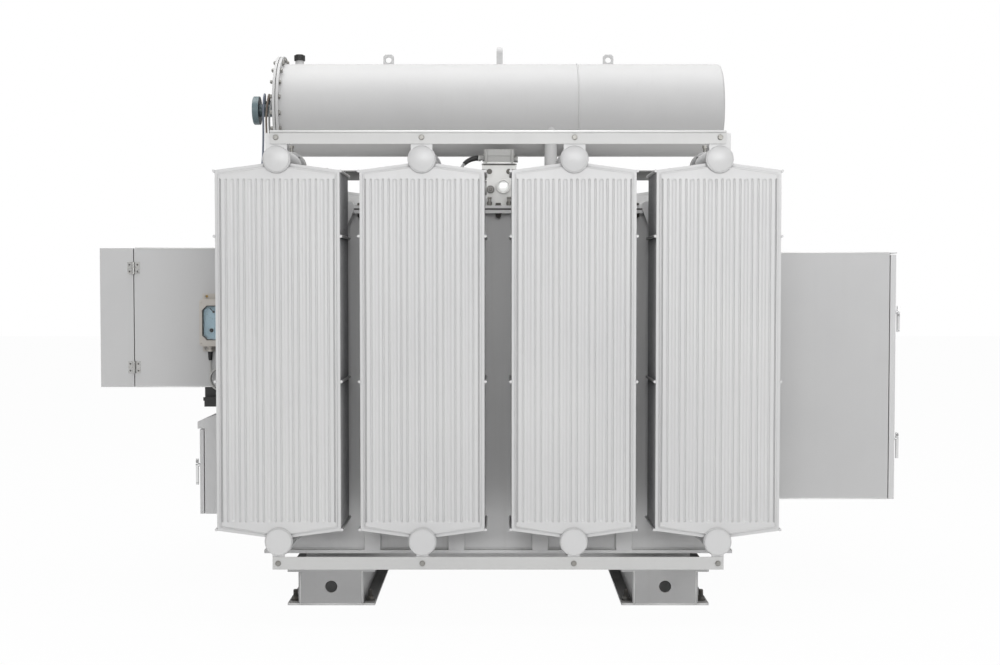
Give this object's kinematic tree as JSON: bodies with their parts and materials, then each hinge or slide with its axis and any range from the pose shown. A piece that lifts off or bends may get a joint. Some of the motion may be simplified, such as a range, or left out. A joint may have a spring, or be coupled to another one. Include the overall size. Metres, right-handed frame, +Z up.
{
  "type": "substation power transformer",
  "caption": "Oil-filled substation power transformer with finned panel radiators, a cylindrical oil conservator, cable boxes, gauges and a hinged control box on channel skids.",
  "frame": {"origin": "centre of the footprint of the bounding box, on the ground under the skids", "axes": "+X along the tank towards the tall cable box, -Y the radiator side that the picture shows, +Z up"},
  "size_m": [3.713, 2.1096, 2.5869],
  "materials": {
    "light_paint": "semi-gloss light grey enamel",
    "cabinet_paint": "semi-gloss grey enamel",
    "tank_paint": "semi-gloss grey enamel",
    "bolt_steel": "zinc plated",
    "handle_chrome": "polished",
    "black_plastic": "moulded",
    "gasket_rubber": "matt",
    "cable_sheath": "flexible sheath",
    "clear_glass": "clear",
    "gauge_enamel": "blue-grey enamel",
    "thermometer_enamel": "warm grey enamel",
    "needle_red": "matt",
    "needle_black": "matt",
    "relay_casting": "painted casting",
    "bushing_glaze": "brown glaze",
    "core_steel": "laminated sheet",
    "clamp_paint": "primer",
    "winding_wrap": "wrapped copper"
  },
  "bodies": {
    "tank_body": {"tank_cover": "light_paint", "front_radiator_1": "light_paint", "front_radiator_2": "light_paint", "front_radiator_3": "light_paint", "front_radiator_4": "light_paint", "rear_radiator_1": "light_paint", "rear_radiator_2": "light_paint", "rear_radiator_3": "light_paint", "rear_radiator_4": "light_paint", "header_elbows": "light_paint", "front_top_rail": "light_paint", "front_bottom_rail": "light_paint", "rear_top_rail": "light_paint", "rear_bottom_rail": "light_paint", "conservator_shell": "light_paint", "conservator_end_cover": "light_paint", "conservator_supports": "light_paint", "relay_pipe": "light_paint", "left_cable_box": "cabinet_paint", "marshalling_box": "cabinet_paint", "right_cable_box": "cabinet_paint", "tank_shell": "tank_paint", "left_skid": "tank_paint", "right_skid": "tank_paint", "cover_bolts": "bolt_steel", "anchor_bolts": "bolt_steel", "radiator_valves": "bolt_steel", "rail_bolts": "bolt_steel", "conservator_flange_bolts": "bolt_steel", "left_box_hinge_leaves": "bolt_steel", "left_hinge_pins": "bolt_steel", "filler_cap": "black_plastic", "junction_box": "black_plastic", "cover_gasket": "gasket_rubber", "conservator_gasket": "gasket_rubber", "relay_cable": "cable_sheath", "gauge_cables": "cable_sheath", "thermometer_cable": "cable_sheath", "level_gauge_glass": "clear_glass", "thermometer_glass": "clear_glass", "level_gauge_body": "gauge_enamel", "thermometer_bracket": "thermometer_enamel", "thermometer_case": "thermometer_enamel", "gas_relay_body": "relay_casting", "relay_terminal_box": "relay_casting", "low_voltage_bushings": "bushing_glaze", "high_voltage_bushings": "bushing_glaze", "core": "core_steel", "core_clamps": "clamp_paint", "windings": "winding_wrap", "winding_leads": "winding_wrap"},
    "left_cover": {"left_box_cover": "cabinet_paint", "left_cover_hinge_leaves": "bolt_steel"},
    "right_door": {"right_box_door": "cabinet_paint"},
    "upper_handle": {"right_upper_handle": "handle_chrome"},
    "lower_handle": {"right_lower_handle": "handle_chrome"},
    "marsh_door": {"marshalling_door": "cabinet_paint"},
    "marsh_handle": {"marshalling_handle": "handle_chrome"},
    "level_pointer": {"level_gauge_pointer": "needle_red"},
    "thermometer_needle": {"thermometer_pointer": "needle_black"}
  },
  "joints": [
    {"name": "left_cover_hinge", "type": "hinge", "parent": "tank_body", "child": "left_cover", "pos_m": [-1.7005, -0.408, 1.279], "axis": [0, 0, 1], "range_deg": [0, 110]},
    {"name": "right_door_hinge", "type": "hinge", "parent": "tank_body", "child": "right_door", "pos_m": [1.7915, 0.408, 1], "axis": [0, 0, 1], "range_deg": [0, 110]},
    {"name": "upper_handle_turn", "type": "hinge", "parent": "right_door", "child": "upper_handle", "pos_m": [1.8195, -0.33, 1.304], "axis": [1, 0, 0], "range_deg": [0, 90]},
    {"name": "lower_handle_turn", "type": "hinge", "parent": "right_door", "child": "lower_handle", "pos_m": [1.8195, -0.33, 0.712], "axis": [1, 0, 0], "range_deg": [0, 90]},
    {"name": "marshalling_door_hinge", "type": "hinge", "parent": "tank_body", "child": "marsh_door", "pos_m": [-1.3815, 0.068, 0.56], "axis": [0, 0, -1], "range_deg": [0, 110]},
    {"name": "marshalling_handle_turn", "type": "hinge", "parent": "marsh_door", "child": "marsh_handle", "pos_m": [-1.4015, -0.33, 0.587], "axis": [1, 0, 0], "range_deg": [0, 90]},
    {"name": "level_pointer_turn", "type": "hinge", "parent": "tank_body", "child": "level_pointer", "pos_m": [-1.1985, 0, 2.28], "axis": [1, 0, 0], "range_deg": [-60, 60]},
    {"name": "thermometer_needle_turn", "type": "hinge", "parent": "tank_body", "child": "thermometer_needle", "pos_m": [-1.3245, -0.442, 1.307], "axis": [0, 1, 0], "range_deg": [-30, 200]}
  ]
}
